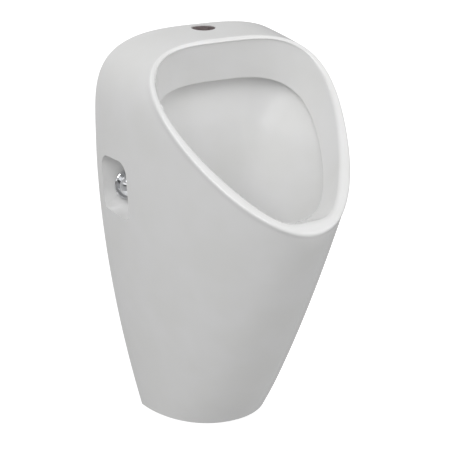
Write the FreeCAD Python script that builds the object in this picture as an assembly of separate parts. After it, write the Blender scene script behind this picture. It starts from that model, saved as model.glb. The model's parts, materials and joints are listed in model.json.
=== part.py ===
"""Wall hung urinal with a top inlet, side fixings and a bottle trap inside the body. Millimetres.

X runs to the right seen from the front, +Y into the wall, +Z up. The origin lies on the wall, midway
between the two fixing bolts. Sizes are given as a distance across (x), a depth out from the wall and a
height above the flat bottom of the ceramic; at() turns them into the part's own frame.
"""

import FreeCAD
import Part
import math
import os
from FreeCAD import Vector

# ---------------------------------------------------------------- ceramic body, outside
BODY_HALF_W = 162.5        # widest half width, at the shoulder
BODY_H = 588.0
SHOULDER_H = 427.5         # height where the sides stop widening
CROWN_RISE_POWER = 4.47    # superellipse powers of the rounded top corners
CROWN_SIDE_POWER = 3.05
BOTTOM_HALF_W = 100.5
TAPER_POWER = 1.76         # how the sides fall from the shoulder to the bottom
BOTTOM_DEPTH = 117.5
LIP_DEPTH = 345.0
LIP_H = 370.5
FRONT_POWER = 0.92         # how the front ridge runs from the bottom to the lip
SIDE_LEAN = 0.045          # half section: how far the side leans in
SIDE_LENGTH = 0.53         # half section: how long the side stays straight
NOSE_BLUNT = 0.60          # half section: bluntness of the front ridge at the bottom
NOSE_BLUNT_TOP = 0.29      # and at the top
DECK_FALL = 0.047          # fall of the deck towards the front
DECK_DEPTH = 83.0          # depth of the deck at its middle
RIM_HOLLOW = 15.0          # how far the rim sags behind a straight line from lip to deck
RIM_EDGE_R = 9.0
RIM_CUT_LOW_H = 220.0      # the cut along the rim runs between these heights
RIM_CUT_HIGH_H = 648.0

# ---------------------------------------------------------------- mouth, collar and bowl
MOUTH_MID_H = 481.0
MOUTH_HALF_H = 98.0
MOUTH_HALF_W = 119.5
MOUTH_SINK = 1.5           # the mouth's edge lies this far behind the rim's surface
COLLAR_MID_H = 441.0
COLLAR_HALF_H = 77.0
COLLAR_HALF_W = 110.5
MOUTH_EGG = (0.55, 0.37, -0.055)   # power of the round, lean towards the top, pinch
COLLAR_EGG = (0.63, 0.28, 0.054)
COLLAR_LENGTH = 84.0       # from the mouth back to the collar's sharp inner edge
COLLAR_EDGE_T = 5.5
WAY_IN_FRONT = 120.0       # the way in is drawn this far in front of the lip
WAY_END_DEPTH = 8.0        # and back to this depth
UNDERCUT = 9.0             # depth of the dark groove behind the collar's edge
BOWL_GAP = 11.0            # the bowl is this much wider than the collar's inner edge
BOWL_BACK_HALF_W = 84.0
BOWL_BACK_DEPTH = 52.0
BOWL_FRONT_DEPTH = 320.0   # at the height of the collar's middle
BOWL_LEVEL_POWER = 1.35    # how the levels crowd towards the sump
BOWL_WIDEN_POWER = 0.95
BOWL_BACK_RATE = 1.5       # the back takes its depth this much sooner than the sides widen
BOWL_BLEND_POWER = 4       # blends the middle of the bowl into the collar's end
BOWL_BACK_FLAT = 0.55      # a level's control points, as shares of its widths and depths
BOWL_CORNER = 0.98
BOWL_CORNER_DEPTH = 0.06
BOWL_SIDE = 1.07
BOWL_FRONT_SIDE = 0.96
BOWL_FRONT_FALL = 0.1
BOWL_FRONT_FLAT = 0.55
SUMP_H = 168.0
SUMP_R = 34.0
SUMP_STEP = 6.0            # recess for the waste flange
CHINA_T = 11.0
SUMP_T = 15.0
BACK_T = 16.0              # flange that meets the wall
BOTTOM_FLANGE_W = 12.0
BACK_OPEN_HALF_W = 72.0
BACK_OPEN_LOW = 30.0
BACK_OPEN_HIGH = 326.0
BACK_OPEN_R = 20.0

# ---------------------------------------------------------------- inlet
INLET_HOLE_R = 17.5
INLET_DEPTH = 24.0
INLET_HOLE_LOW_H = 562.0   # the hole's lower end, inside the chamber
INLET_SEAL_DROP = 1.0      # the rubber sits this far below the glaze
INLET_SEAL_L = 15.0
INLET_FUNNEL = 6.0
INLET_SEAL_RIM = 4.0
FLUSH_PIPE_R = 9.0
CHAMBER_HALF_W = 52.0
CHAMBER_LOW = 536.0
CHAMBER_BACK_DEPTH = 12.0
CHAMBER_TOP_DEPTH = 67.0
CHAMBER_LOW_DEPTH = 58.0
CHAMBER_WALL = 8.0
FLUSH_SLOT = 5.0
FLUSH_SLOT_HALF_W = 50.0

# ---------------------------------------------------------------- fixings
FIXING_H = 368.0
FIXING_HALF_SPACING = 120.0
POCKET_TOP_H = 420.0
POCKET_LOW_H = 333.0
POCKET_RAMP = 5.0          # the recess's floor falls this much from back to front
POCKET_DEPTH = 83.0
POCKET_INNER_X = 95.0
POCKET_WALL = 7.0
POCKET_TOP_R = 18.0
POCKET_LOW_R = 10.0
STUD_R = 4.0               # wood screw end, in the wall
STUD_THREAD_R = 3.95       # machine thread, through the china
STUD_IN_WALL = 60.0
STUD_POINT_L = 10.0
STUD_TIP_R = 1.0
STUD_END_DEPTH = 34.0
SLEEVE_R = 7.0
SLEEVE_HEAD_R = 11.0
SLEEVE_HEAD_T = 2.0
WASHER_R = 10.0
WASHER_T = 1.6
NUT_ACROSS = 13.0
NUT_T = 6.5
THREAD_GAP = 0.05
CAP_BASE_R = 23.0
CAP_BASE_T = 2.0
CAP_RING_T = 1.5           # ring that the dome snaps over
CAP_RING_L = 2.0
CAP_R = 18.0
CAP_T = 1.2
CAP_STRAIGHT = 5.0
CAP_L = 19.0

# ---------------------------------------------------------------- waste
WASTE_DEPTH = 70.0
WASTE_HOLE_R = 26.0
WASTE_TUBE_R = 24.0
WASTE_TUBE_T = 2.5
WASTE_FLANGE_R = 33.0
WASTE_FLANGE_T = 3.0
WASTE_BAR_W = 8.0
WASTE_BAR_T = 5.0
WASTE_BAR_H = 155.0
UPPER_GASKET_T = 2.0
LOWER_GASKET_T = 3.0
LOCKNUT_R = 35.0
LOCKNUT_T = 11.0
STRAINER_R = 28.0
STRAINER_T = 2.0
STRAINER_RISE = 5.0
STRAINER_SLOTS = 12
STRAINER_SLOT_W = 3.4
STRAINER_HUB_R = 8.5
STRAINER_BAND = 4.0        # closed band round the strainer's edge
SCREW_R = 2.5
SCREW_HEAD_R = 5.0
SCREW_HEAD_T = 2.6
SCREW_CROSS_W = 1.2
SCREW_CROSS_HALF_L = 3.0

# ---------------------------------------------------------------- bottle trap
HEAD_R = 31.0
HEAD_T = 3.0
HEAD_LOW_H = 58.0
HEAD_HIGH_H = 126.0
SKIRT_R = 27.0             # threaded skirt under the head
SKIRT_T = 3.0
SKIRT_L = 12.0
LEDGE_H = 109.0            # inside ledge that holds the dip tube
LEDGE_T = 2.5
DIP_R = 19.0
DIP_T = 2.0
DIP_FLANGE_T = 2.0
DIP_LOW_H = 22.0
CUP_R = 28.0
CUP_T = 2.4
CUP_LOW_H = 8.0
CUP_COLLAR_R = 31.0
CUP_CORNER = 3.0
CUP_RIBS_LOW_H = 12.0
CUP_RIBS_L = 28.0
CUP_SEAL_T = 2.0
COUPLING_NUT_L = 19.0
COUPLING_NUT_TOP = 6.0
COUPLING_NUT_T = 3.5
WASTE_INTO_HEAD = 7.0
SEAL_L = 6.0
OUTLET_H = 88.0
OUTLET_BORE_R = 20.0
STUB_R = 29.0
STUB_END_DEPTH = 27.0
PIPE_R = 25.0
SPIGOT_R = 24.4            # the pipe's inner end, turned down to enter the trap
SPIGOT_FROM = 8.0          # depth where the turned end starts
PIPE_T = 1.8
PIPE_INTO_STUB = 14.0
PIPE_BEHIND_WALL = 60.0
OUTLET_NUT_L = 19.0
FIT = 0.3                  # gap between pieces that are put together by hand
CHAMFER = 1.0
GRIP_RIBS = 20
RIB_R = 1.6


def at(x, depth, height):
    """Point in the part's frame from a distance across, a depth from the wall and a height."""
    return Vector(x, -depth, height - FIXING_H)


ACROSS = Vector(1, 0, 0)
INTO_WALL = Vector(0, 1, 0)
OUT_OF_WALL = Vector(0, -1, 0)
UP = Vector(0, 0, 1)
DOWN = Vector(0, 0, -1)
FAR = 900.0                # larger than the whole body
PAST = 2.0                 # how far a cutting solid reaches past what it cuts
HALVINGS = 50              # steps of a search by halving


def save(name, *solids):
    """Write one node: a single solid, or a group of separate ones."""
    shape = solids[0] if len(solids) == 1 else Part.makeCompound(list(solids))
    shape.exportStep("parts/" + name + ".step")


def both_sides(solid):
    """The solid and its mirror image in the plane x = 0."""
    return [solid, solid.mirror(Vector(0, 0, 0), ACROSS)]


def rod(radius, start, direction, length):
    return Part.makeCylinder(radius, length, start, direction)


def tube(outer, inner, start, direction, length):
    return rod(outer, start, direction, length).cut(rod(inner, start, direction, length))


def turned(profile, base, axis):
    """Solid turned about the axis through base; profile lists (radius, distance along the axis)."""
    side = ACROSS
    points = [base + side * r + axis * s for r, s in profile]
    face = Part.Face(Part.makePolygon(points + points[:1]))
    return face.revolve(base, axis, 360)


def prism_across(wire, x_from, x_to):
    """Solid that carries a closed outline in the plane x = 0 from x_from to x_to."""
    face = Part.Face(wire)
    face.translate(ACROSS * x_from)
    return face.extrude(ACROSS * (x_to - x_from))


# ---------------------------------------------------------------- smooth skins
def spline(points, marks, closed):
    """Cubic curve through the points at the given parameter marks."""
    curve = Part.BSplineCurve()
    curve.interpolate(Points=points, PeriodicFlag=closed, Parameters=marks)
    return curve


def skin(rows, marks, closed, knots, mults):
    """Surface: a spline runs along each row, and the rows are control points across it."""
    curves = [spline(row, marks, closed) for row in rows]
    degree = sum(mults) - len(rows) - 1
    surface = Part.BSplineSurface()
    surface.buildFromPolesMultsKnots(
        [curve.getPoles() for curve in curves],
        mults,
        curves[0].getMultiplicities(),
        knots,
        curves[0].getKnots(),
        False,
        closed,
        degree,
        3,
    )
    return surface.toShape()


def even_knots(count, degree):
    """Knots and multiplicities of a clamped spline with this many control points."""
    spans = count - degree
    return [float(i) for i in range(spans + 1)], [degree + 1] + [1] * (spans - 1) + [degree + 1]


def sewn(faces):
    """Solid bounded by faces that meet along shared edges."""
    shell = Part.Shell(faces)
    shell.sewShape()
    solid = Part.Solid(Part.Shell(shell.Faces))
    if solid.Volume < 0:
        solid.reverse()
    return solid


def spots_along(edge):
    """Seven points spread evenly over an edge."""
    low, high = edge.ParameterRange
    return [edge.valueAt(low + (high - low) * i / 6.0) for i in range(7)]


def edges_in_plane(face, normal, level):
    """Boundary edges of the face that lie in the plane normal . p = level."""
    return [e for e in face.Edges if all(abs(p.dot(normal) - level) < 1e-6 for p in spots_along(e))]


def superellipse_spot(angle, rise_power, side_power):
    """Point (side, rise) of side**side_power + rise**rise_power = 1 in the direction of the angle."""
    low, high = 0.5, 1.5
    c, s = math.cos(angle), math.sin(angle)
    for _ in range(HALVINGS):
        r = (low + high) / 2
        if (r * c) ** side_power + (r * s) ** rise_power < 1:
            low = r
        else:
            high = r
    return low * c, low * s


# ---------------------------------------------------------------- outer form
def outer_stations(inset, floor):
    """Heights with their half widths, from the floor to the crown, for the form inset all round."""
    widest = BODY_HALF_W - inset
    narrow = BOTTOM_HALF_W - inset
    top = BODY_H - inset
    steps_low, steps_high = 10, 14
    found = []
    for i in range(steps_low):
        height = floor + (SHOULDER_H - floor) * i / steps_low
        fall = ((SHOULDER_H - height) / SHOULDER_H) ** TAPER_POWER
        found.append((height, widest - (widest - narrow) * fall))
    for i in range(steps_high + 1):
        side, rise = superellipse_spot(math.pi / 2 * i / steps_high, CROWN_RISE_POWER, CROWN_SIDE_POWER)
        if i == steps_high:
            side = 0.0
        found.append((SHOULDER_H + (top - SHOULDER_H) * rise, widest * side))
    return found


def front_depth(height):
    return BOTTOM_DEPTH + (LIP_DEPTH - BOTTOM_DEPTH) * (height / LIP_H) ** FRONT_POWER


def outer_form(inset, floor):
    """The body's outer form as a solid: each level is a wedge with a rounded nose."""
    rows = [[], [], [], []]
    marks = []
    reach = 0.0
    last = None
    for height, half in outer_stations(inset, floor):
        depth = front_depth(height) - inset
        blunt = NOSE_BLUNT + (NOSE_BLUNT_TOP - NOSE_BLUNT) * height / BODY_H
        fall = DECK_FALL * max(0.0, (height - SHOULDER_H) / (BODY_H - SHOULDER_H))
        level = [
            (half, 0.0),
            (half * (1 - SIDE_LEAN), SIDE_LENGTH * depth),
            (half * blunt, depth),
            (0.0, depth),
        ]
        for row, (x, d) in zip(rows, level):
            row.append(at(x, d, height - fall * d))
        if last is not None:
            reach += math.hypot(height - last[0], half - last[1])
        marks.append(reach)
        last = (height, half)
    knots, mults = even_knots(4, 3)
    right = skin(rows, marks, False, knots, mults)
    left = right.mirror(Vector(0, 0, 0), ACROSS)
    floor_level = floor - FIXING_H
    back_edges = edges_in_plane(right, INTO_WALL, 0.0) + edges_in_plane(left, INTO_WALL, 0.0)
    floor_edges = edges_in_plane(right, UP, floor_level) + edges_in_plane(left, UP, floor_level)
    half = rows[0][0].x
    corner_line = Part.makeLine(at(-half, 0, floor), at(half, 0, floor))
    back = Part.Face(Part.Wire(Part.__sortEdges__(back_edges + [corner_line])))
    base = Part.Face(Part.Wire(Part.__sortEdges__(floor_edges + [corner_line])))
    return sewn([right, left, back, base])


def rim_depth(height):
    """Depth of the rim's front surface, a shallow parabola from the lip to the deck."""
    t = (height - LIP_H) / (BODY_H - LIP_H)
    return LIP_DEPTH + (DECK_DEPTH - LIP_DEPTH) * t - 4 * RIM_HOLLOW * t * (1 - t)


def rim_slope(height):
    t = (height - LIP_H) / (BODY_H - LIP_H)
    return (DECK_DEPTH - LIP_DEPTH - 4 * RIM_HOLLOW * (1 - 2 * t)) / (BODY_H - LIP_H)


def beyond_rim(back):
    """Everything in front of the rim's surface, moved back towards the wall by this much."""
    low, high = RIM_CUT_LOW_H, RIM_CUT_HIGH_H
    mid = (low + high) / 2
    start = at(0, rim_depth(low) - back, low)
    end = at(0, rim_depth(high) - back, high)
    pull = at(0, rim_depth(low) - back + rim_slope(low) * (mid - low), mid)
    curve = Part.BezierCurve()
    curve.setPoles([start, pull, end])
    corners = [end, at(0, FAR, high), at(0, FAR, low), start]
    outline = Part.Wire([curve.toShape()] + Part.makePolygon(corners).Edges)
    return prism_across(outline, -FAR / 2, FAR / 2)


# ---------------------------------------------------------------- mouth and collar
def egg_spot(angle, mid, half_h, half_w, power, lean, pinch):
    """Point (x, height) of an egg in the direction of the angle from its top."""
    low, high = 0.0, math.pi
    for _ in range(HALVINGS):
        turn = (low + high) / 2
        c, s = math.cos(turn), max(math.sin(turn), 0.0)
        x = s ** power * (1 + lean * c + pinch * c * c)
        if math.atan2(x, c) < angle:
            low = turn
        else:
            high = turn
    return half_w * x, mid + half_h * c


def egg_loop(mid, half_h, half_w, egg, grow):
    """Egg outline, as (x, height) pairs round from the top, grown outwards."""
    count = 24
    right = []
    for i in range(count + 1):
        angle = math.pi * i / count
        x, height = egg_spot(angle, mid, half_h, half_w, *egg)
        if i in (0, count):
            x = 0.0
        right.append((x + grow * math.sin(angle), height + grow * math.cos(angle)))
    return right + [(-x, height) for x, height in right[-2:0:-1]]


def mouth_tube(grow):
    """The tapering way in, from in front of the rim, through the mouth and the collar, to behind them."""
    mouth = egg_loop(MOUTH_MID_H, MOUTH_HALF_H, MOUTH_HALF_W, MOUTH_EGG, grow)
    collar = egg_loop(COLLAR_MID_H, COLLAR_HALF_H, COLLAR_HALF_W, COLLAR_EGG, grow)
    front, middle, back = [], [], []
    for (xm, hm), (xc, hc) in zip(mouth, collar):
        mouth_at = at(xm, rim_depth(hm) - MOUTH_SINK, hm)
        collar_at = at(xc, rim_depth(hc) - COLLAR_LENGTH, hc)
        way = collar_at - mouth_at
        front.append(at(xm, LIP_DEPTH + WAY_IN_FRONT, hm))
        middle.append(mouth_at)
        back.append(collar_at + way * ((collar_at.y + WAY_END_DEPTH) / -way.y))
    marks = [float(i) for i in range(len(front) + 1)]
    loops = [front, middle, back]
    faces = [skin([a, b], marks, True, [0.0, 1.0], [2, 2]) for a, b in zip(loops, loops[1:])]
    for loop in (front, back):
        faces.append(Part.Face(Part.Wire(spline(loop, marks, True).toShape())))
    return sewn(faces)


# ---------------------------------------------------------------- bowl
def bowl_form(grow, floor):
    """The bowl behind the collar as a solid: flat back, rounded corners, sides that flare to the front."""
    steps_low, steps_high = 12, 12
    stations = []
    for i in range(steps_low):
        along = i / float(steps_low)
        height = floor + (COLLAR_MID_H - floor) * along ** BOWL_LEVEL_POWER
        stations.append((height, along ** BOWL_WIDEN_POWER, 1.0))
    for i in range(steps_high + 1):
        angle = math.pi / 2 * (1 - i / float(steps_high))
        x, height = egg_spot(angle, COLLAR_MID_H, COLLAR_HALF_H, COLLAR_HALF_W, *COLLAR_EGG)
        side = 0.0 if i == steps_high else x / COLLAR_HALF_W
        stations.append((height + (BOWL_GAP + grow) * math.cos(angle), 1.0, side))
    sump_back, sump_front = WASTE_DEPTH - SUMP_R, WASTE_DEPTH + SUMP_R
    rows = [[] for _ in range(7)]
    marks = []
    reach = 0.0
    last = None
    for height, widen, side in stations:
        wide = (SUMP_R + (COLLAR_HALF_W + BOWL_GAP - SUMP_R) * widen + grow) * side
        corner = (SUMP_R + (BOWL_BACK_HALF_W - SUMP_R) * widen + grow) * side
        back_share = min(1.0, widen * BOWL_BACK_RATE)
        near = sump_back + (BOWL_BACK_DEPTH - sump_back) * back_share - grow
        far = sump_front + (BOWL_FRONT_DEPTH - sump_front) * widen + grow
        halfway = (near + far) / 2
        collar_end = rim_depth(height) - COLLAR_LENGTH
        flare = (halfway ** -BOWL_BLEND_POWER + collar_end ** -BOWL_BLEND_POWER) ** (-1 / BOWL_BLEND_POWER)
        level = [
            (0.0, near),
            (corner * BOWL_BACK_FLAT, near),
            (corner * BOWL_CORNER, near + (flare - near) * BOWL_CORNER_DEPTH),
            (wide * BOWL_SIDE, flare),
            (wide * BOWL_FRONT_SIDE, far - (far - flare) * BOWL_FRONT_FALL),
            (wide * BOWL_FRONT_FLAT, far),
            (0.0, far),
        ]
        for row, (x, d) in zip(rows, level):
            row.append(at(x, d, height))
        if last is not None:
            reach += math.hypot(height - last[0], wide - last[1])
        marks.append(reach)
        last = (height, wide)
    knots, mults = even_knots(len(rows), 3)
    right = skin(rows, marks, False, knots, mults)
    left = right.mirror(Vector(0, 0, 0), ACROSS)
    floor_level = floor - FIXING_H
    floor_edges = edges_in_plane(right, UP, floor_level) + edges_in_plane(left, UP, floor_level)
    base = Part.Face(Part.Wire(Part.__sortEdges__(floor_edges)))
    return sewn([right, left, base])


# ---------------------------------------------------------------- recesses and chamber
def edges_across(solid):
    """Straight edges that run across, from the lowest to the highest."""
    found = [edge for edge in solid.Edges if abs(edge.Vertexes[0].X - edge.Vertexes[-1].X) > 1]
    return sorted(found, key=lambda edge: edge.CenterOfMass.z)


def pocket(grow):
    """Recess over the right fixing bolt: rounded top corners, and a floor that falls to the front."""
    top_back = at(0, BACK_T - grow, POCKET_TOP_H + grow)
    top_front = at(0, POCKET_DEPTH + grow, POCKET_TOP_H + grow)
    low_front = at(0, POCKET_DEPTH + grow, POCKET_LOW_H - grow)
    low_back = at(0, BACK_T - grow, POCKET_LOW_H + POCKET_RAMP - grow)
    outline = Part.makePolygon([top_back, top_front, low_front, low_back, top_back])
    solid = prism_across(outline, POCKET_INNER_X - grow, BODY_HALF_W + PAST)
    solid = solid.makeFillet(POCKET_LOW_R + grow, edges_across(solid)[:1])
    return solid.makeFillet(POCKET_TOP_R + grow, edges_across(solid)[-2:])


def chamber(grow):
    """Water space under the deck and behind the collar's top."""
    top = BODY_H - CHINA_T - DECK_FALL * DECK_DEPTH + grow
    low = CHAMBER_LOW - grow
    corners = [
        at(0, CHAMBER_BACK_DEPTH - grow, top),
        at(0, CHAMBER_TOP_DEPTH + grow, top),
        at(0, CHAMBER_LOW_DEPTH + grow, low),
        at(0, CHAMBER_BACK_DEPTH - grow, low),
    ]
    half_w = CHAMBER_HALF_W + grow
    return prism_across(Part.makePolygon(corners + corners[:1]), -half_w, half_w)


def flush_slot():
    """Narrow way from the chamber down into the groove behind the collar."""
    low = COLLAR_MID_H + COLLAR_HALF_H
    corner = at(-FLUSH_SLOT_HALF_W, BOWL_BACK_DEPTH + FLUSH_SLOT, low)
    return Part.makeBox(2 * FLUSH_SLOT_HALF_W, FLUSH_SLOT, CHAMBER_LOW - low + PAST, corner)


def back_opening():
    """Rounded opening through the back flange, for fitting the trap."""
    box = Part.makeBox(
        2 * BACK_OPEN_HALF_W,
        BACK_T + 2 * PAST,
        BACK_OPEN_HIGH - BACK_OPEN_LOW,
        at(-BACK_OPEN_HALF_W, BACK_T + PAST, BACK_OPEN_LOW),
    )
    upright = [edge for edge in box.Edges if abs(edge.Vertexes[0].Y - edge.Vertexes[1].Y) > 1]
    return box.makeFillet(BACK_OPEN_R, upright)


def ceramic():
    """Hollow china: an outer skin, a bowl inside it, and the flange that meets the wall."""
    body = outer_form(0.0, 0.0).cut(beyond_rim(0.0))
    body = rounded_rim(body)
    slant = math.hypot(1.0, rim_slope(BODY_H)) * CHINA_T
    hollow = outer_form(CHINA_T, CHINA_T).cut(beyond_rim(slant))
    hollow = hollow.common(Part.makeBox(FAR, FAR, FAR, at(-FAR / 2, FAR + BACK_T, 0)))
    pockets = both_sides(pocket(0.0))
    walls = [
        bowl_form(CHINA_T, SUMP_H - SUMP_T).cut(beyond_rim(COLLAR_LENGTH - UNDERCUT - CHINA_T)),
        mouth_tube(CHINA_T).common(beyond_rim(COLLAR_LENGTH)),
        chamber(CHAMBER_WALL),
    ]
    walls += both_sides(pocket(POCKET_WALL))
    for wall in walls:
        hollow = hollow.cut(wall)
    body = body.cut(hollow)
    way_in = mouth_tube(0.0).common(beyond_rim(COLLAR_LENGTH))
    collar_wall = mouth_tube(COLLAR_EDGE_T).common(beyond_rim(COLLAR_LENGTH))
    bowl = bowl_form(0.0, SUMP_H).cut(beyond_rim(COLLAR_LENGTH - UNDERCUT)).cut(collar_wall)
    for void in [way_in, bowl, chamber(0.0), flush_slot(), back_opening()] + pockets:
        body = body.cut(void)
    drain = at(0, WASTE_DEPTH, SUMP_H - SUMP_STEP)
    body = body.cut(rod(SUMP_R, drain, UP, SUMP_STEP + FIT))
    body = body.cut(rod(WASTE_HOLE_R, drain, DOWN, SUMP_T + PAST))
    inlet_top = at(0, INLET_DEPTH, BODY_H + PAST)
    body = body.cut(rod(INLET_HOLE_R, inlet_top, DOWN, BODY_H + PAST - INLET_HOLE_LOW_H))
    body = body.cut(bottom_opening())
    for x in (-FIXING_HALF_SPACING, FIXING_HALF_SPACING):
        start = at(x, BACK_T + PAST, FIXING_H)
        body = body.cut(rod(SLEEVE_R + FIT, start, INTO_WALL, BACK_T + 2 * PAST))
    return body


def bottom_opening():
    """Opening in the flat bottom that leaves a flange all round, for the trap's cup."""
    form = outer_form(BOTTOM_FLANGE_W, FIT)
    slab = Part.makeBox(FAR, FAR, CHINA_T + PAST, at(-FAR / 2, FAR + BACK_T, 0))
    hole = form.common(slab)
    return hole.fuse(hole.translated(DOWN * PAST))


def rounded_rim(body):
    """Round the outer edge of the rim, where the front surface meets the sides and the deck."""
    def on_rim(point):
        return abs(-point.y - rim_depth(point.z + FIXING_H)) < 0.05

    edges = [edge for edge in body.Edges if all(on_rim(spot) for spot in spots_along(edge))]
    return body.makeFillet(RIM_EDGE_R, edges)


# ---------------------------------------------------------------- inlet seal
def inlet_seal():
    """Rubber sleeve in the deck's hole, with a funnel that leads the flush pipe in."""
    top = BODY_H - DECK_FALL * INLET_DEPTH - INLET_SEAL_DROP
    outer = INLET_HOLE_R - FIT
    profile = [
        (FLUSH_PIPE_R, 0),
        (outer, 0),
        (outer, INLET_SEAL_L),
        (outer - INLET_SEAL_RIM, INLET_SEAL_L),
        (FLUSH_PIPE_R, INLET_SEAL_L - INLET_FUNNEL),
    ]
    return turned(profile, at(0, INLET_DEPTH, top - INLET_SEAL_L), UP)


# ---------------------------------------------------------------- wall fixings
def on_fixing(depth):
    """Point on the right fixing's axis at this depth."""
    return at(FIXING_HALF_SPACING, depth, FIXING_H)


BASE_DEPTH = BACK_T + SLEEVE_HEAD_T
WASHER_DEPTH = BASE_DEPTH + CAP_BASE_T
NUT_DEPTH = WASHER_DEPTH + WASHER_T


def wall_stud():
    """Hanger bolt: a screw point in the wall and a machine thread through the flange."""
    profile = [
        (0, -STUD_IN_WALL),
        (STUD_TIP_R, -STUD_IN_WALL),
        (STUD_R, STUD_POINT_L - STUD_IN_WALL),
        (STUD_R, 0),
        (STUD_THREAD_R, 0),
        (STUD_THREAD_R, STUD_END_DEPTH - CHAMFER),
        (STUD_THREAD_R - CHAMFER, STUD_END_DEPTH),
        (0, STUD_END_DEPTH),
    ]
    return turned(profile, on_fixing(0), OUT_OF_WALL)


def stud_sleeve():
    """Nylon bush with a collar, between the stud and the china."""
    bore = STUD_R + FIT
    profile = [
        (bore, FIT),
        (SLEEVE_R, FIT),
        (SLEEVE_R, BACK_T),
        (SLEEVE_HEAD_R, BACK_T),
        (SLEEVE_HEAD_R, BASE_DEPTH),
        (bore, BASE_DEPTH),
    ]
    return turned(profile, on_fixing(0), OUT_OF_WALL)


def cap_base():
    """Flat chrome disc under the washer, with the ring that the dome snaps over."""
    ring = CAP_R - CAP_T - FIT
    profile = [
        (STUD_R + FIT, BASE_DEPTH),
        (CAP_BASE_R - CHAMFER, BASE_DEPTH),
        (CAP_BASE_R, BASE_DEPTH + CHAMFER),
        (CAP_BASE_R - CHAMFER, WASHER_DEPTH),
        (ring, WASHER_DEPTH),
        (ring, WASHER_DEPTH + CAP_RING_L),
        (ring - CAP_RING_T, WASHER_DEPTH + CAP_RING_L),
        (ring - CAP_RING_T, WASHER_DEPTH),
        (STUD_R + FIT, WASHER_DEPTH),
    ]
    return turned(profile, on_fixing(0), OUT_OF_WALL)


def washer():
    return tube(WASHER_R, STUD_R + FIT, on_fixing(WASHER_DEPTH), OUT_OF_WALL, WASHER_T)


def fixing_nut():
    """Hexagon nut on the stud."""
    corner = NUT_ACROSS / math.sqrt(3)
    centre = on_fixing(NUT_DEPTH)
    points = []
    for i in range(7):
        angle = math.pi / 3 * i
        points.append(centre + ACROSS * (corner * math.cos(angle)) + UP * (corner * math.sin(angle)))
    block = Part.Face(Part.makePolygon(points)).extrude(OUT_OF_WALL * NUT_T)
    return block.cut(rod(STUD_THREAD_R + THREAD_GAP, centre, OUT_OF_WALL, NUT_T))


def cap_dome(radius, straight, length, base):
    """Short cylinder that ends in a spherical crown."""
    rise = length - straight
    sphere = (radius * radius + rise * rise) / (2 * rise)
    middle = rise - sphere + math.sqrt(sphere * sphere - radius * radius / 4)
    arc = Part.Arc(
        base + ACROSS * radius + OUT_OF_WALL * straight,
        base + ACROSS * (radius / 2) + OUT_OF_WALL * (straight + middle),
        base + OUT_OF_WALL * length,
    )
    corners = [base + OUT_OF_WALL * length, base, base + ACROSS * radius]
    corners.append(base + ACROSS * radius + OUT_OF_WALL * straight)
    outline = Part.Wire([arc.toShape()] + Part.makePolygon(corners).Edges)
    return Part.Face(outline).revolve(base, OUT_OF_WALL, 360)


def cap():
    """Thin chrome dome over the nut."""
    base = on_fixing(WASHER_DEPTH)
    outside = cap_dome(CAP_R, CAP_STRAIGHT, CAP_L, base)
    return outside.cut(cap_dome(CAP_R - CAP_T, CAP_STRAIGHT, CAP_L - CAP_T, base))


# ---------------------------------------------------------------- waste
def on_waste(height):
    """Point on the waste's upright axis at this height."""
    return at(0, WASTE_DEPTH, height)


RECESS_H = SUMP_H - SUMP_STEP
FLANGE_LOW_H = RECESS_H + UPPER_GASKET_T
FLANGE_TOP_H = FLANGE_LOW_H + WASTE_FLANGE_T
SUMP_UNDER_H = SUMP_H - SUMP_T
LOCKNUT_TOP_H = SUMP_UNDER_H - LOWER_GASKET_T
WASTE_LOW_H = HEAD_HIGH_H - WASTE_INTO_HEAD


def ring(outer, inner, low, high):
    """Flat or tubular ring round the waste's axis."""
    return tube(outer, inner, on_waste(low), UP, high - low)


def ribbed(solid, centre, axis, radius, length):
    """The solid with grip ribs along its outside."""
    side = ACROSS
    for i in range(GRIP_RIBS):
        rib = rod(RIB_R, centre + side * (radius - RIB_R / 2), axis, length)
        rib.rotate(centre, axis, 360.0 * i / GRIP_RIBS)
        solid = solid.fuse(rib)
    return solid.removeSplitter()


def waste_body():
    """Flanged tube through the sump, with a bar across it for the strainer's screw."""
    body = ring(WASTE_TUBE_R, WASTE_TUBE_R - WASTE_TUBE_T, WASTE_LOW_H, FLANGE_TOP_H)
    body = body.fuse(ring(WASTE_FLANGE_R, WASTE_TUBE_R - WASTE_TUBE_T, FLANGE_LOW_H, FLANGE_TOP_H))
    reach = WASTE_TUBE_R - WASTE_TUBE_T / 2
    corner = at(-reach, WASTE_DEPTH + WASTE_BAR_W / 2, WASTE_BAR_H)
    bar = Part.makeBox(2 * reach, WASTE_BAR_W, WASTE_BAR_T, corner)
    body = body.fuse(bar)
    bore = rod(SCREW_R + THREAD_GAP, on_waste(WASTE_BAR_H - PAST), UP, WASTE_BAR_T + 2 * PAST)
    return body.cut(bore).removeSplitter()


def crown_height(radius):
    """Height of the strainer's domed underside above the flange at this radius."""
    return STRAINER_RISE * (1 - (radius / STRAINER_R) ** 2)


def strainer():
    """Domed grate: radial slots between a closed hub and a closed edge band."""
    count = 8
    radii = [STRAINER_R * i / count for i in range(count + 1)]
    under = [(r, crown_height(r)) for r in radii]
    over = [(r, crown_height(r) + STRAINER_T) for r in reversed(radii)]
    grate = turned(under + over, on_waste(FLANGE_TOP_H), UP)
    start = at(STRAINER_HUB_R, WASTE_DEPTH + STRAINER_SLOT_W / 2, FLANGE_TOP_H)
    length = STRAINER_R - STRAINER_BAND - STRAINER_HUB_R
    for i in range(STRAINER_SLOTS):
        slot = Part.makeBox(length, STRAINER_SLOT_W, STRAINER_RISE + STRAINER_T + PAST, start)
        slot.rotate(on_waste(FLANGE_TOP_H), UP, 360.0 * i / STRAINER_SLOTS)
        grate = grate.cut(slot)
    bore = rod(SCREW_R + FIT, on_waste(FLANGE_TOP_H), UP, STRAINER_RISE + STRAINER_T + PAST)
    return grate.cut(bore)


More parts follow.
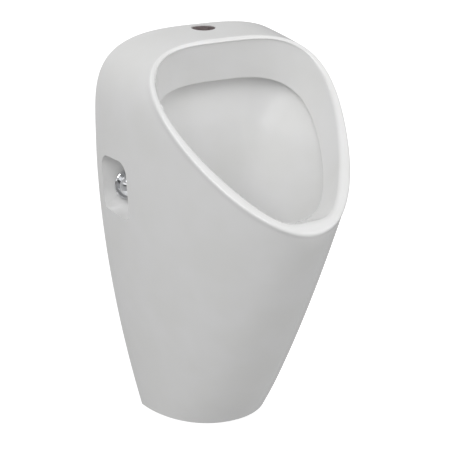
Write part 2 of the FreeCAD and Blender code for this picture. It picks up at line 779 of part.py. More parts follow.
def strainer_screw():
    """Cross head screw from the strainer into the bar of the waste."""
    head_low = FLANGE_TOP_H + STRAINER_RISE + STRAINER_T
    screw = rod(SCREW_R, on_waste(WASTE_BAR_H), UP, head_low - WASTE_BAR_H)
    screw = screw.fuse(rod(SCREW_HEAD_R, on_waste(head_low), UP, SCREW_HEAD_T))
    for angle in (0, 90):
        corner = at(-SCREW_CROSS_HALF_L, WASTE_DEPTH + SCREW_CROSS_W / 2, head_low + SCREW_HEAD_T / 2)
        cross = Part.makeBox(2 * SCREW_CROSS_HALF_L, SCREW_CROSS_W, SCREW_HEAD_T, corner)
        cross.rotate(on_waste(head_low), UP, angle)
        screw = screw.cut(cross)
    return screw.removeSplitter()


def waste_locknut():
    low = LOCKNUT_TOP_H - LOCKNUT_T
    nut = ring(LOCKNUT_R, WASTE_TUBE_R + THREAD_GAP, low, LOCKNUT_TOP_H)
    return ribbed(nut, on_waste(low), UP, LOCKNUT_R, LOCKNUT_T)


# ---------------------------------------------------------------- bottle trap
def coupling_nut(base, axis, stub_r, tube_r, length):
    """Compression nut: a skirt over the stub's thread, and a top that presses on the seal."""
    outer = stub_r + COUPLING_NUT_T
    skirt = length - COUPLING_NUT_TOP
    nut = tube(outer, stub_r + THREAD_GAP, base, axis, skirt)
    nut = nut.fuse(tube(outer, tube_r + FIT, base + axis * skirt, axis, COUPLING_NUT_TOP))
    return ribbed(nut.removeSplitter(), base, axis, outer, length)


def trap_body():
    """Moulded head: a pot with a stub for the outlet, a ledge for the dip tube and a skirt for the cup."""
    inside = HEAD_R - HEAD_T
    head = rod(HEAD_R, on_waste(HEAD_LOW_H), UP, HEAD_HIGH_H - HEAD_LOW_H)
    head = head.fuse(rod(SKIRT_R, on_waste(HEAD_LOW_H - SKIRT_L), UP, SKIRT_L))
    outlet = at(0, STUB_END_DEPTH, OUTLET_H)
    head = head.fuse(rod(STUB_R, outlet, OUT_OF_WALL, WASTE_DEPTH - STUB_END_DEPTH))
    head = head.cut(rod(inside, on_waste(LEDGE_H + LEDGE_T), UP, HEAD_HIGH_H))
    head = head.cut(rod(DIP_R + FIT, on_waste(HEAD_LOW_H), UP, HEAD_HIGH_H))
    head = head.cut(rod(inside, on_waste(HEAD_LOW_H + HEAD_T), UP, LEDGE_H - HEAD_LOW_H - HEAD_T))
    head = head.cut(rod(SKIRT_R - SKIRT_T, on_waste(HEAD_LOW_H - SKIRT_L), UP, SKIRT_L + HEAD_T))
    head = head.cut(rod(OUTLET_BORE_R, outlet, OUT_OF_WALL, WASTE_DEPTH - STUB_END_DEPTH))
    head = head.cut(rod(SPIGOT_R + FIT, outlet, OUT_OF_WALL, PIPE_INTO_STUB + FIT))
    return head.removeSplitter()


def trap_inlet_nut():
    nut_low = HEAD_HIGH_H + SEAL_L + COUPLING_NUT_TOP - COUPLING_NUT_L
    return coupling_nut(on_waste(nut_low), UP, HEAD_R, WASTE_TUBE_R, COUPLING_NUT_L)


def trap_inlet_seal():
    return ring(HEAD_R - FIT, WASTE_TUBE_R + THREAD_GAP, HEAD_HIGH_H, HEAD_HIGH_H + SEAL_L)


def dip_tube():
    """Tube that hangs from the ledge and dips into the water in the cup."""
    low = LEDGE_H + LEDGE_T
    stem = ring(DIP_R, DIP_R - DIP_T, DIP_LOW_H, low + DIP_FLANGE_T)
    flange = ring(HEAD_R - HEAD_T - FIT, DIP_R - DIP_T, low, low + DIP_FLANGE_T)
    return stem.fuse(flange).removeSplitter()


def trap_cup():
    """Removable cup, screwed over the head's skirt."""
    top = HEAD_LOW_H - CUP_SEAL_T
    step = HEAD_LOW_H - SKIRT_L - 2 * FIT
    profile = [
        (0, CUP_LOW_H),
        (CUP_R - CUP_CORNER, CUP_LOW_H),
        (CUP_R, CUP_LOW_H + CUP_CORNER),
        (CUP_R, step - CUP_CORNER),
        (CUP_COLLAR_R, step),
        (CUP_COLLAR_R, top),
        (SKIRT_R + FIT, top),
        (SKIRT_R + FIT, step),
        (CUP_R - CUP_T, step),
        (CUP_R - CUP_T, CUP_LOW_H + CUP_T),
        (0, CUP_LOW_H + CUP_T),
    ]
    cup = turned(profile, on_waste(0), UP)
    return ribbed(cup, on_waste(CUP_RIBS_LOW_H), UP, CUP_R, CUP_RIBS_L)


def cup_seal():
    top = HEAD_LOW_H
    return ring(CUP_COLLAR_R, SKIRT_R + FIT, top - CUP_SEAL_T, top)


def outlet_nut():
    end = STUB_END_DEPTH - SEAL_L - COUPLING_NUT_TOP
    return coupling_nut(at(0, end + OUTLET_NUT_L, OUTLET_H), INTO_WALL, STUB_R, SPIGOT_R, OUTLET_NUT_L)


def outlet_seal():
    start = at(0, STUB_END_DEPTH, OUTLET_H)
    return tube(STUB_R - FIT, SPIGOT_R + THREAD_GAP, start, INTO_WALL, SEAL_L)


def outlet_pipe():
    """Waste pipe from the trap's stub through the wall plane."""
    inner_end = -STUB_END_DEPTH - PIPE_INTO_STUB
    bore = PIPE_R - PIPE_T
    profile = [
        (bore, inner_end),
        (SPIGOT_R, inner_end),
        (SPIGOT_R, -SPIGOT_FROM),
        (PIPE_R, -SPIGOT_FROM),
        (PIPE_R, PIPE_BEHIND_WALL),
        (bore, PIPE_BEHIND_WALL),
    ]
    return turned(profile, at(0, 0, OUTLET_H), INTO_WALL)


# ---------------------------------------------------------------- write the pieces
os.makedirs("parts", exist_ok=True)
save("ceramic_body", ceramic())
save("inlet_seal", inlet_seal())
save("wall_studs", *both_sides(wall_stud()))
save("stud_sleeves", *both_sides(stud_sleeve()))
save("cap_bases", *both_sides(cap_base()))
save("fixing_washers", *both_sides(washer()))
save("fixing_nuts", *both_sides(fixing_nut()))
right_cap, left_cap = both_sides(cap())
save("right_cap", right_cap)
save("left_cap", left_cap)
save("waste_upper_gasket", ring(WASTE_FLANGE_R, WASTE_HOLE_R, RECESS_H, FLANGE_LOW_H))
save("waste_body", waste_body())
save("waste_lower_gasket", ring(LOCKNUT_R, WASTE_TUBE_R + FIT, LOCKNUT_TOP_H, SUMP_UNDER_H))
save("waste_locknut", waste_locknut())
save("strainer", strainer())
save("strainer_screw", strainer_screw())
save("trap_inlet_nut", trap_inlet_nut())
save("trap_inlet_seal", trap_inlet_seal())
save("trap_body", trap_body())
save("dip_tube", dip_tube())
save("trap_cup", trap_cup())
save("cup_seal", cup_seal())
save("outlet_nut", outlet_nut())
save("outlet_seal", outlet_seal())
save("outlet_pipe", outlet_pipe())
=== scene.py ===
"""Looks of a wall hung urinal in glazed china. Metres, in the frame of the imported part.

X runs to the right seen from the front, +Y into the wall, +Z up; the origin lies on the wall, midway
between the two fixing bolts. Heights are measured from the flat bottom of the china and depths from the
wall, as on a drawing; place() turns them into the frame.
"""

import bmesh
import bpy
import json
import math
import numpy as np
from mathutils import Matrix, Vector
from mathutils.bvhtree import BVHTree


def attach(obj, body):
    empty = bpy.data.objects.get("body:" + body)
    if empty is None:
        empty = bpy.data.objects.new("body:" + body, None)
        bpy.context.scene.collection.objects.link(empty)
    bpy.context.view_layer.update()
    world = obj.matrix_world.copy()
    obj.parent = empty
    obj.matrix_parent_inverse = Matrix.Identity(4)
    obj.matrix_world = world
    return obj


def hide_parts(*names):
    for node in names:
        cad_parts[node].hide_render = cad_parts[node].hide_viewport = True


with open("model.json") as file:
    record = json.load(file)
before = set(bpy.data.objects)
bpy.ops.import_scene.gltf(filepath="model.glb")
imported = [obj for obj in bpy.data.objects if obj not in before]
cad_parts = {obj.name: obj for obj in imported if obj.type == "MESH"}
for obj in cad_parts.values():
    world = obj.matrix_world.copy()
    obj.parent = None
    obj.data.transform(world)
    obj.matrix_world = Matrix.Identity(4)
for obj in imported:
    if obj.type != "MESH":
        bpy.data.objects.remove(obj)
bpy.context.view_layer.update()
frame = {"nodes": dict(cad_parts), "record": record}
nodes = frame["nodes"]

FIXING_H = 0.368           # height of the fixing bolts above the flat bottom
MM_PER_M = 1000
WHITE = (1, 1, 1, 1)


def place(x, depth, height):
    """Points of the frame, one per row, from distances across, depths and heights."""
    x, depth, height = np.broadcast_arrays(x, depth, height)
    return np.stack([x, -depth, height - FIXING_H], axis=-1)


# ---------------------------------------------------------------- materials
def srgb(code):
    """Linear colour of an sRGB hex code: each channel through the standard's curve."""
    channels = [int(code[i : i + 2], 16) / 255 for i in (0, 2, 4)]
    return [c / 12.92 if c <= 0.04045 else ((c + 0.055) / 1.055) ** 2.4 for c in channels] + [1.0]


def add(made, kind, settings=(), inputs=(), links=()):
    """One node: its settings, its input values, and links into its inputs from other nodes' outputs."""
    node = made.node_tree.nodes.new(kind)
    for key, value in dict(settings).items():
        setattr(node, key, value)
    for key, value in dict(inputs).items():
        node.inputs[key].default_value = value
    for key, source in dict(links).items():
        made.node_tree.links.new(source, node.inputs[key])
    return node


MOST_NOISE = {"From Min": 0.35, "From Max": 0.65}    # most of the noise's values lie between these
MIX_SHARE, MIX_FIRST, MIX_SECOND, MIX_COLOUR = 0, 6, 7, 2    # sockets of a colour mix


def finish(
    name, pale, deep, patch_mm, smooth, rough,
    metal=0.0, ior=1.45, grain_mm=1.0, relief_mm=0.0, pull=(1, 1, 1),
):
    """Material whose colour and gloss drift over patches of a real size, with a fine relief of another.

    The colour drifts from pale to deep and the roughness from smooth to rough. pull below 1 along an axis
    draws the patches and the grain out along it.
    """
    made = bpy.data.materials.new(name)
    made.use_nodes = True
    shader = made.node_tree.nodes["Principled BSDF"]
    spot = add(made, "ShaderNodeTexCoord").outputs["Object"]
    pulled = add(made, "ShaderNodeMapping", inputs={"Scale": pull}, links={"Vector": spot}).outputs["Vector"]
    patches, grain = [
        add(made, "ShaderNodeTexNoise", inputs={"Scale": MM_PER_M / mm}, links={"Vector": pulled}).outputs[0]
        for mm in (patch_mm, grain_mm)
    ]
    drift = add(made, "ShaderNodeMapRange", inputs=MOST_NOISE, links={"Value": patches}).outputs["Result"]
    tone = add(
        made,
        "ShaderNodeMix",
        settings={"data_type": "RGBA"},
        inputs={MIX_FIRST: srgb(pale), MIX_SECOND: srgb(deep)},
        links={MIX_SHARE: drift},
    )
    between = {"To Min": smooth, "To Max": rough}
    gloss = add(made, "ShaderNodeMapRange", inputs=between, links={"Value": drift})
    relief = add(made, "ShaderNodeBump", inputs={"Distance": relief_mm / MM_PER_M}, links={"Height": grain})
    shader.inputs["Metallic"].default_value = metal
    shader.inputs["IOR"].default_value = ior
    made.node_tree.links.new(tone.outputs[MIX_COLOUR], shader.inputs["Base Color"])
    made.node_tree.links.new(gloss.outputs["Result"], shader.inputs["Roughness"])
    made.node_tree.links.new(relief.outputs["Normal"], shader.inputs["Normal"])
    return made


finishes = {
    # white glaze: nearly even, its reflections a little wavy, as a dipped and fired coat lies
    "china": finish(
        "glazed vitreous china", "EFEFEF", "ECECEB", 70, 0.05, 0.09, ior=1.52, grain_mm=14, relief_mm=0.03
    ),
    # bright plate with the faint haze that fingers leave
    "chrome": finish("chromed brass", "EDEEF0", "E2E4E7", 9, 0.03, 0.10, metal=1.0),
    # brown black rubber, dull and slightly uneven
    "black_rubber": finish("moulded rubber", "6E6262", "5D5253", 6, 0.5, 0.7, grain_mm=0.8, relief_mm=0.04),
    # zinc with its cloudy, faintly yellow passivation
    "zinc_steel": finish("zinc plated steel", "C0C3C4", "A9A797", 4, 0.25, 0.45, metal=1.0, relief_mm=0.01),
    # bright drawn wire, turned on a lathe
    "stainless": finish("stainless steel", "C9C9C7", "B4B4B1", 2, 0.2, 0.35, metal=1.0, pull=(1, 1, 12)),
    # milky bush that has taken on a little yellow
    "nylon": finish("moulded nylon", "E6E2D4", "DAD5C3", 5, 0.35, 0.5, relief_mm=0.02),
    # white moulding with a fine sparked texture
    "white_plastic": finish(
        "moulded polypropylene", "EBEBE8", "E0E0DC", 12, 0.35, 0.5, grain_mm=0.7, relief_mm=0.03
    ),
    # grey pipe with the faint lines of its die along it
    "grey_plastic": finish(
        "extruded polypropylene", "94979A", "86898C", 2, 0.35, 0.5, relief_mm=0.02, pull=(1, 0.02, 1)
    ),
}
for part in frame["record"]["subparts"]:
    node = nodes[part["node"]]
    node.data.materials.clear()
    node.data.materials.append(finishes[part["material_slot"]])

# ---------------------------------------------------------------- dimensions of the china
BODY_HALF_W = 0.1625       # widest half width, at the shoulder
BODY_H = 0.588
SHOULDER_H = 0.4275        # height where the sides stop widening
CROWN_RISE_POWER = 4.47    # superellipse powers of the rounded top corners
CROWN_SIDE_POWER = 3.05
CROWN_REACH = (0.5, 1.5)   # the superellipse lies between these shares of the circle
BOTTOM_HALF_W = 0.1005
TAPER_POWER = 1.76         # how the sides fall from the shoulder to the bottom
BOTTOM_DEPTH = 0.1175
LIP_DEPTH = 0.345
LIP_H = 0.3705
FRONT_POWER = 0.92         # how the front ridge runs from the bottom to the lip
SIDE_LEAN = 0.045          # half section: how far the side leans in
SIDE_LENGTH = 0.53         # half section: how long the side stays straight
NOSE_BLUNT = 0.60          # half section: bluntness of the front ridge at the bottom
NOSE_BLUNT_TOP = 0.29      # and at the top
DECK_FALL = 0.047          # fall of the deck towards the front
DECK_DEPTH = 0.083         # depth of the deck at its middle
RIM_HOLLOW = 0.015         # how far the rim sags behind a straight line from lip to deck
MOUTH_SINK = 0.0015        # the mouth's edge lies this far behind the rim's surface
MOUTH = (0.481, 0.098, 0.1195, 0.55, 0.37, -0.055)    # middle, half height, half width, egg powers
COLLAR = (0.441, 0.077, 0.1105, 0.63, 0.28, 0.054)
COLLAR_LENGTH = 0.084      # from the mouth back to the collar's inner edge
COLLAR_EDGE_T = 0.0055
COLLAR_FROM = 0.055        # the collar's plain part runs between these shares of its length
COLLAR_TO = 0.965
UNDERCUT = 0.009           # depth of the dark groove behind the collar's edge
BOWL_GAP = 0.011           # the bowl is this much wider than the collar's inner edge
BOWL_BACK_HALF_W = 0.084
BOWL_BACK_DEPTH = 0.052
BOWL_FRONT_DEPTH = 0.320   # at the height of the collar's middle
BOWL_LEVEL_POWER = 1.35    # how the levels crowd towards the sump
BOWL_WIDEN_POWER = 0.95
BOWL_BACK_RATE = 1.5       # the back takes its depth this much sooner than the sides widen
BOWL_BLEND_POWER = 4       # blends the middle of the bowl into the collar's end
BOWL_BACK_FLAT = 0.55      # a level's control points, as shares of its widths and depths
BOWL_CORNER = 0.98
BOWL_CORNER_DEPTH = 0.06
BOWL_SIDE = 1.07
BOWL_FRONT_SIDE = 0.96
BOWL_FRONT_FALL = 0.1
BOWL_FRONT_FLAT = 0.55
SUMP_H = 0.168
SUMP_R = 0.034
WASTE_DEPTH = 0.070
INLET_DEPTH = 0.024
INLET_HOLE_R = 0.0175
POCKET_TOP = (0.083, 0.420)     # the recess's front corners and back corners, as depth and height
POCKET_LOW = (0.083, 0.333)
POCKET_BACK_LOW = (0.016, 0.338)
POCKET_BACK_TOP = (0.016, 0.420)
POCKET_TOP_R = 0.018
POCKET_LOW_R = 0.010

# rounding of the rim, which the photograph shows as a soft raised band
BEAD_START = 0.019         # the band's outer side leaves the skin this far behind the rim's edge
BEAD_CREASE = 0.0105       # and is pulled in towards this line
BEAD_RISE = 0.0012         # the band stands this proud of the skin
BEAD_FADE_FROM = 0.62      # share of the way up the rim where it starts to sink into the deck
BEAD_FADE_LENGTH = 0.25
BAND_SHOULDER = 0.22       # the band's top is domed between these shares of its width
BAND_INSIDE = 0.72
BAND_DOME = 0.0026
OUT_OF_MOUTH = (0, 0.77, 0.64)    # way at right angles to the rim's slope
LIP_EASE_FROM = 0.330      # the lip is drawn in beyond this depth, by the square of what is beyond
LIP_EASE = 13.7

# counts
SIDE_LEVELS = 10           # levels of the drawing below the shoulder, and from it to the crown
CROWN_LEVELS = 15
SUMP_LEVELS = 12           # levels of the drawing below the collar's middle, and from it to its top
BOWL_TOP_LEVELS = 13
HALVINGS = 44
LOW_ROWS = 56
RIM_COLUMNS = 150
SKIN_COLUMNS = 88
BOWL_COLUMNS = 64
BEAD_ROWS = 36
COLLAR_ROWS = 22
EDGE_ROWS = 10
ARC_STEPS = 8
HOLE_SIDES = 48

# small sizes that only the geometry's arithmetic needs
WELD = 2e-6                # points closer than this are one
SLIVER = 1e-7
NORMAL_STEP = 1e-4
ON_AXIS = 1e-9
TINY = 1e-12
LIP_SEARCH_FROM = 0.05     # the lip lies above this mark
REACH_ROOM = 1.3           # faces up to this share of an outline's reach are looked at
SHARP = math.radians(32)


def bisected(too_low, low, high):
    """Value between low and high where too_low turns from true to false, by halving."""
    for _ in range(HALVINGS):
        middle = (low + high) / 2
        below = too_low(middle)
        low, high = np.where(below, middle, low), np.where(below, high, middle)
    return (low + high) / 2


def basis(count, degree, t):
    """Weights of the control points of a clamped spline with even knots, at t from 0 to 1."""
    spans = count - degree
    knots = np.concatenate([np.zeros(degree), np.arange(spans + 1), np.full(degree, spans)]).astype(float)
    x = np.clip(np.asarray(t, float) * spans, 0, spans * (1 - TINY))[..., None]
    weight = ((knots[:-1] <= x) & (x < knots[1:])).astype(float)
    for k in range(1, degree + 1):
        rising, falling = knots[k:-1] - knots[: -k - 1], knots[k + 1 :] - knots[1:-k]
        left = np.where(rising > 0, (x - knots[: -k - 1]) / np.where(rising > 0, rising, 1), 0)
        right = np.where(falling > 0, (knots[k + 1 :] - x) / np.where(falling > 0, falling, 1), 0)
        weight = left * weight[..., :-1] + right * weight[..., 1:]
    return weight


def skin(rows, marks):
    """Smooth surface as a function of a mark along it and t across it.

    A natural cubic runs through each row of points at the marks, and the rows' cubics are the control
    points of a clamped cubic spline across.
    """
    table = np.stack(rows, axis=1)
    gaps = np.diff(marks)
    inner = np.arange(1, len(marks) - 1)
    matrix = np.eye(len(marks))
    matrix[inner, inner - 1], matrix[inner, inner + 1] = gaps[:-1], gaps[1:]
    matrix[inner, inner] = 2 * (gaps[:-1] + gaps[1:])
    right = np.zeros_like(table)
    right[1:-1] = 6 * np.diff(np.diff(table, axis=0) / gaps[:, None, None], axis=0)
    bend = np.linalg.solve(matrix, right.reshape(len(marks), -1)).reshape(table.shape)

    def point(mark, t):
        mark, t = np.broadcast_arrays(np.asarray(mark, float), np.asarray(t, float))
        i = np.clip(np.searchsorted(marks, mark) - 1, 0, len(marks) - 2)
        gap = gaps[i][..., None, None]
        b = (mark - marks[i])[..., None, None] / gap
        a = 1 - b
        line = a * table[i] + b * table[i + 1]
        curve = ((a**3 - a) * bend[i] + (b**3 - b) * bend[i + 1]) * gap * gap / 6
        return np.einsum("...r,...rc->...c", basis(len(rows), 3, t), line + curve)

    return point


def marks_of(height, half):
    """Length along a section's stations, from their heights and half widths."""
    return np.concatenate([[0], np.cumsum(np.hypot(np.diff(height), np.diff(half)))])


def drawn(x, depth, height):
    """Points on the drawing, as across, depth and height in the last axis."""
    return np.stack(np.broadcast_arrays(x, depth, height), axis=-1)


def rim_depth(height):
    """Depth of the rim's front, a shallow parabola from the lip to the deck."""
    t = (height - LIP_H) / (BODY_H - LIP_H)
    return LIP_DEPTH + (DECK_DEPTH - LIP_DEPTH) * t - 4 * RIM_HOLLOW * t * (1 - t)


def outer_skin():
    """The body's outside: each level is a cubic from the wall to the front ridge, and the levels follow
    a power curve up to the shoulder and a superellipse over the crown."""
    height = SHOULDER_H * np.arange(SIDE_LEVELS) / SIDE_LEVELS
    half = BODY_HALF_W - (BODY_HALF_W - BOTTOM_HALF_W) * ((SHOULDER_H - height) / SHOULDER_H) ** TAPER_POWER
    angle = math.pi / 2 * np.arange(CROWN_LEVELS) / (CROWN_LEVELS - 1)
    c, s = np.maximum(np.cos(angle), 0), np.sin(angle)
    c[-1] = 0
    reach = bisected(
        lambda r: (r * c) ** CROWN_SIDE_POWER + (r * s) ** CROWN_RISE_POWER < 1, *CROWN_REACH
    )
    height = np.concatenate([height, SHOULDER_H + (BODY_H - SHOULDER_H) * reach * s])
    half = np.concatenate([half, BODY_HALF_W * reach * c])
    depth = BOTTOM_DEPTH + (LIP_DEPTH - BOTTOM_DEPTH) * (height / LIP_H) ** FRONT_POWER
    blunt = NOSE_BLUNT + (NOSE_BLUNT_TOP - NOSE_BLUNT) * height / BODY_H
    fall = DECK_FALL * np.maximum(0, (height - SHOULDER_H) / (BODY_H - SHOULDER_H))
    rows = [
        drawn(x, d, height - fall * d)
        for x, d in (
            (half, 0 * depth),
            (half * (1 - SIDE_LEAN), SIDE_LENGTH * depth),
            (half * blunt, depth),
            (0 * half, depth),
        )
    ]
    marks = marks_of(height, half)
    return skin(rows, marks), marks[-1]


def egg(angle, oval, grow=0.0):
    """Across and height of an egg: x = half_w sin^p (1 + lean cos + pinch cos2), h = mid + half_h cos, at the
    polar angle from its top, grown outwards."""
    mid, half_h, half_w, power, lean, pinch = oval

    def across(turn):
        c, s = np.cos(turn), np.maximum(np.sin(turn), TINY)
        return s**power * (1 + lean * c + pinch * c * c)

    turn = bisected(lambda t: np.arctan2(across(t), np.cos(t)) < angle, 0 * angle, 0 * angle + math.pi)
    at_top, at_foot = angle < ON_AXIS, angle > math.pi - ON_AXIS
    x = np.where(at_top | at_foot, 0, half_w * across(turn))
    c = np.where(at_foot, -1, np.where(at_top, 1, np.cos(turn)))
    lift = np.where(at_top | at_foot, 0, np.sin(angle))
    return x + grow * lift, mid + half_h * c + grow * np.cos(angle)


def angle_in(oval, points):
    """Polar angle from the egg's top, in the egg's own proportions."""
    mid, half_h, half_w = oval[:3]
    return np.arctan2(np.maximum(points[..., 0], 0) / half_w, (points[..., 2] - mid) / half_h)


def way_in(angle, along, grow=0.0):
    """Point on the collar: straight lines join the mouth, at along 0, to the collar's inner edge, at 1."""
    xm, hm = egg(angle, MOUTH, grow)
    xc, hc = egg(angle, COLLAR, grow)
    front = drawn(xm, rim_depth(hm) - MOUTH_SINK, hm)
    back = drawn(xc, rim_depth(hc) - COLLAR_LENGTH, hc)
    return front + (back - front) * np.asarray(along)[..., None]


def bowl_skin():
    """The bowl: each level is a clamped cubic spline from the middle of the back to the middle of the front,
    and the levels widen from the sump to the collar's middle and follow its egg above."""
    collar_mid_h, _, collar_half_w = COLLAR[:3]
    along = np.arange(SUMP_LEVELS) / SUMP_LEVELS
    low_h = SUMP_H + (collar_mid_h - SUMP_H) * along**BOWL_LEVEL_POWER
    angle = math.pi / 2 * (1 - np.arange(BOWL_TOP_LEVELS) / (BOWL_TOP_LEVELS - 1))
    x, high_h = egg(angle, COLLAR)
    side = np.concatenate([np.ones(SUMP_LEVELS), x / collar_half_w])
    widen = np.concatenate([along**BOWL_WIDEN_POWER, np.ones(BOWL_TOP_LEVELS)])
    height = np.concatenate([low_h, high_h + BOWL_GAP * np.cos(angle)])
    wide = (SUMP_R + (collar_half_w + BOWL_GAP - SUMP_R) * widen) * side
    corner = (SUMP_R + (BOWL_BACK_HALF_W - SUMP_R) * widen) * side
    early = np.minimum(1, widen * BOWL_BACK_RATE)
    near = WASTE_DEPTH - SUMP_R + (BOWL_BACK_DEPTH - WASTE_DEPTH + SUMP_R) * early
    far = WASTE_DEPTH + SUMP_R + (BOWL_FRONT_DEPTH - WASTE_DEPTH - SUMP_R) * widen
    collar_end = rim_depth(height) - COLLAR_LENGTH
    power = -BOWL_BLEND_POWER
    flare = (((near + far) / 2) ** power + collar_end**power) ** (1 / power)
    level = [
        (0 * wide, near),
        (corner * BOWL_BACK_FLAT, near),
        (corner * BOWL_CORNER, near + (flare - near) * BOWL_CORNER_DEPTH),
        (wide * BOWL_SIDE, flare),
        (wide * BOWL_FRONT_SIDE, far - (far - flare) * BOWL_FRONT_FALL),
        (wide * BOWL_FRONT_FLAT, far),
        (0 * wide, far),
    ]
    marks = marks_of(height, wide)
    return skin([drawn(x, d, height) for x, d in level], marks), marks[-1]


def edge_behind_rim(surface, top, back):
    """Where a surface crosses the rim's front moved back, from the lip up: marks, places across, and points.

    The marks lie closer together towards the lip, where the rim turns fastest.
    """

    def short(mark, t):
        p = surface(mark, t)
        return p[..., 1] < rim_depth(p[..., 2]) - back

    lip = bisected(lambda m: short(m, 1.0), LIP_SEARCH_FROM, np.float64(top))
    mark = lip + (top - lip) * np.linspace(0, 1, RIM_COLUMNS) ** 2
    t = bisected(lambda t: short(mark, t), np.zeros(RIM_COLUMNS), np.ones(RIM_COLUMNS))
    t[0] = 1
    points = surface(mark, t)
    points[[0, -1], 0] = 0
    return mark, t, points


def trimmed_grid(surface, top, back, columns):
    """Grid of points over the part of a surface behind the moved rim: rows go up, columns run from the wall
    side to the front ridge or the rim."""
    mark, t, _ = edge_behind_rim(surface, top, back)
    low = np.linspace(0, mark[0], LOW_ROWS + 1)[:-1]
    marks = np.concatenate([low, mark])[:, None]
    reach = np.concatenate([np.ones(LOW_ROWS), t])[:, None]
    grid = surface(marks, reach * np.linspace(0, 1, columns))
    grid[-1, :, 0] = 0
    return grid


def rounded(polygon, steps):
    """Rows of points on the clamped quadratic spline over a polygon of point rows."""
    weight = basis(len(polygon), 2, np.linspace(0, 1, steps))
    return np.einsum("sr,rnc->snc", weight, np.stack(polygon))


def outward(surface, mark, t):
    """Unit normal of a surface, away from its inside, from differences along and across."""
    along = surface(mark, t) - surface(mark - NORMAL_STEP, t)
    across = surface(mark, t) - surface(mark, t - NORMAL_STEP)
    normal = np.cross(along, across)
    normal *= np.where(normal @ np.array([1, 1, 1]) < 0, -1, 1)[:, None]
    return normal / np.linalg.norm(normal, axis=1)[:, None]


def eased(grid):
    """The grid with its part beyond the lip's ease drawn in: depth d becomes d - ease (d - from)^2."""
    beyond = np.maximum(grid[..., 1] - LIP_EASE_FROM, 0)
    return grid - drawn(0, LIP_EASE * beyond**2, 0)


def quads(rows, columns, start):
    """Corner numbers of the faces of a grid whose first point has the number start."""
    i = start + np.arange(rows * columns).reshape(rows, columns)
    return np.stack([i[:-1, :-1], i[:-1, 1:], i[1:, 1:], i[1:, :-1]], axis=-1).reshape(-1, 4)


def mirrored_mesh(name, grids):
    """Mesh of grids on the drawing's right half and their mirror images, merged where they meet."""
    points, faces, start = [], [], 0
    for grid in grids:
        for side in (1, -1):
            flat = (grid * np.array([side, 1, 1])).reshape(-1, 3)
            rows, columns = grid.shape[:2]
            corner = quads(rows, columns, start)
            faces.append(corner if side == 1 else corner[:, ::-1])
            points.append(place(flat[:, 0], flat[:, 1], flat[:, 2]))
            start += len(flat)
    mesh = bpy.data.meshes.new(name)
    mesh.from_pydata(np.concatenate(points), [], np.concatenate(faces))
    work = bmesh.new()
    work.from_mesh(mesh)
    bmesh.ops.remove_doubles(work, verts=work.verts, dist=WELD)
    bmesh.ops.dissolve_degenerate(work, dist=SLIVER, edges=work.edges)
    bmesh.ops.recalc_face_normals(work, faces=work.faces)
    return mesh, work


def cut_out(work, outline, origin, first, second, side=0):
    """Remove the part of a mesh inside a convex outline, carried along the direction at right angles to first
    and second. side limits it to x > 0 or x < 0, and without one it keeps off what lies far below."""
    third = first.cross(second)
    middle = sum((Vector((a, b)) for a, b in outline), Vector((0, 0))) / len(outline)
    reach = max((Vector(p) - middle).length for p in outline)
    centre = origin + first * middle.x + second * middle.y

    def near(face):
        c = face.calc_center_median()
        off = c - centre
        flat = off - third * off.dot(third)
        on_side = c.x * side > 0 if side else c.z > centre.z - reach
        return flat.length < reach * REACH_ROOM and on_side

    inside = [f for f in work.faces if near(f)]
    for (a0, b0), (a1, b1) in zip(outline, outline[1:] + outline[:1]):
        start = origin + first * a0 + second * b0
        run = first * (a1 - a0) + second * (b1 - b0)
        normal = run.cross(third).normalized()
        if normal.dot(centre - start) > 0:
            normal = -normal
        geometry = set(inside)
        for face in inside:
            geometry.update(face.edges)
            geometry.update(face.verts)
        cut = bmesh.ops.bisect_plane(work, geom=list(geometry), dist=SLIVER, plane_co=start, plane_no=normal)
        faces = [g for g in cut["geom"] if isinstance(g, bmesh.types.BMFace)]
        inside = [f for f in faces if (f.calc_center_median() - start).dot(normal) < 0]
    bmesh.ops.delete(work, geom=inside, context="FACES")


def rounded_corner(before, corner, after, radius):
    """Points of the arc that rounds a corner of an outline."""
    corner = Vector(corner)
    a, b = (Vector(before) - corner).normalized(), (Vector(after) - corner).normalized()
    half = a.angle(b) / 2
    middle = corner + (a + b).normalized() * radius / math.sin(half)
    first, last = corner + a * radius / math.tan(half), corner + b * radius / math.tan(half)
    points = []
    for i in range(ARC_STEPS + 1):
        way = (first - middle).lerp(last - middle, i / ARC_STEPS).normalized()
        points.append(tuple(middle + way * radius))
    return points


def finished(work, mesh, body, slot):
    """Object of an edited mesh, smooth but for its sharp edges, riding on a body."""
    work.to_mesh(mesh)
    work.free()
    mesh.shade_smooth()
    mesh.set_sharp_from_angle(angle=SHARP)
    made = bpy.data.objects.new(mesh.name, mesh)
    bpy.context.scene.collection.objects.link(made)
    mesh.materials.append(finishes[slot])
    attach(made, body)
    return made


# ---------------------------------------------------------------- the china's outside, rim, collar and bowl
outside, outside_top = outer_skin()
bowl, bowl_top = bowl_skin()

# the rim's band: the skin's rows start, crease and corner, then rows that dome it and lead into the mouth
mark, across, corner = edge_behind_rim(outside, outside_top, 0.0)
crease = edge_behind_rim(outside, outside_top, BEAD_CREASE)[2]
start = edge_behind_rim(outside, outside_top, BEAD_START)[2]
climb = np.linspace(0, 1, RIM_COLUMNS)
fade = np.clip((climb - BEAD_FADE_FROM) / BEAD_FADE_LENGTH, 0, 1)
rise = BEAD_RISE * (1 - fade * fade * (3 - 2 * fade))
bulge = corner + outward(outside, mark, across) * rise[:, None]
bulge[[0, -1], 0] = 0
turn = angle_in(MOUTH, corner)
turn[0], turn[-1] = math.pi, 0


def ring(along, grow=0.0):
    """Half ring of points round the collar at a share of its length."""
    return way_in(turn, np.full(RIM_COLUMNS, along), grow)


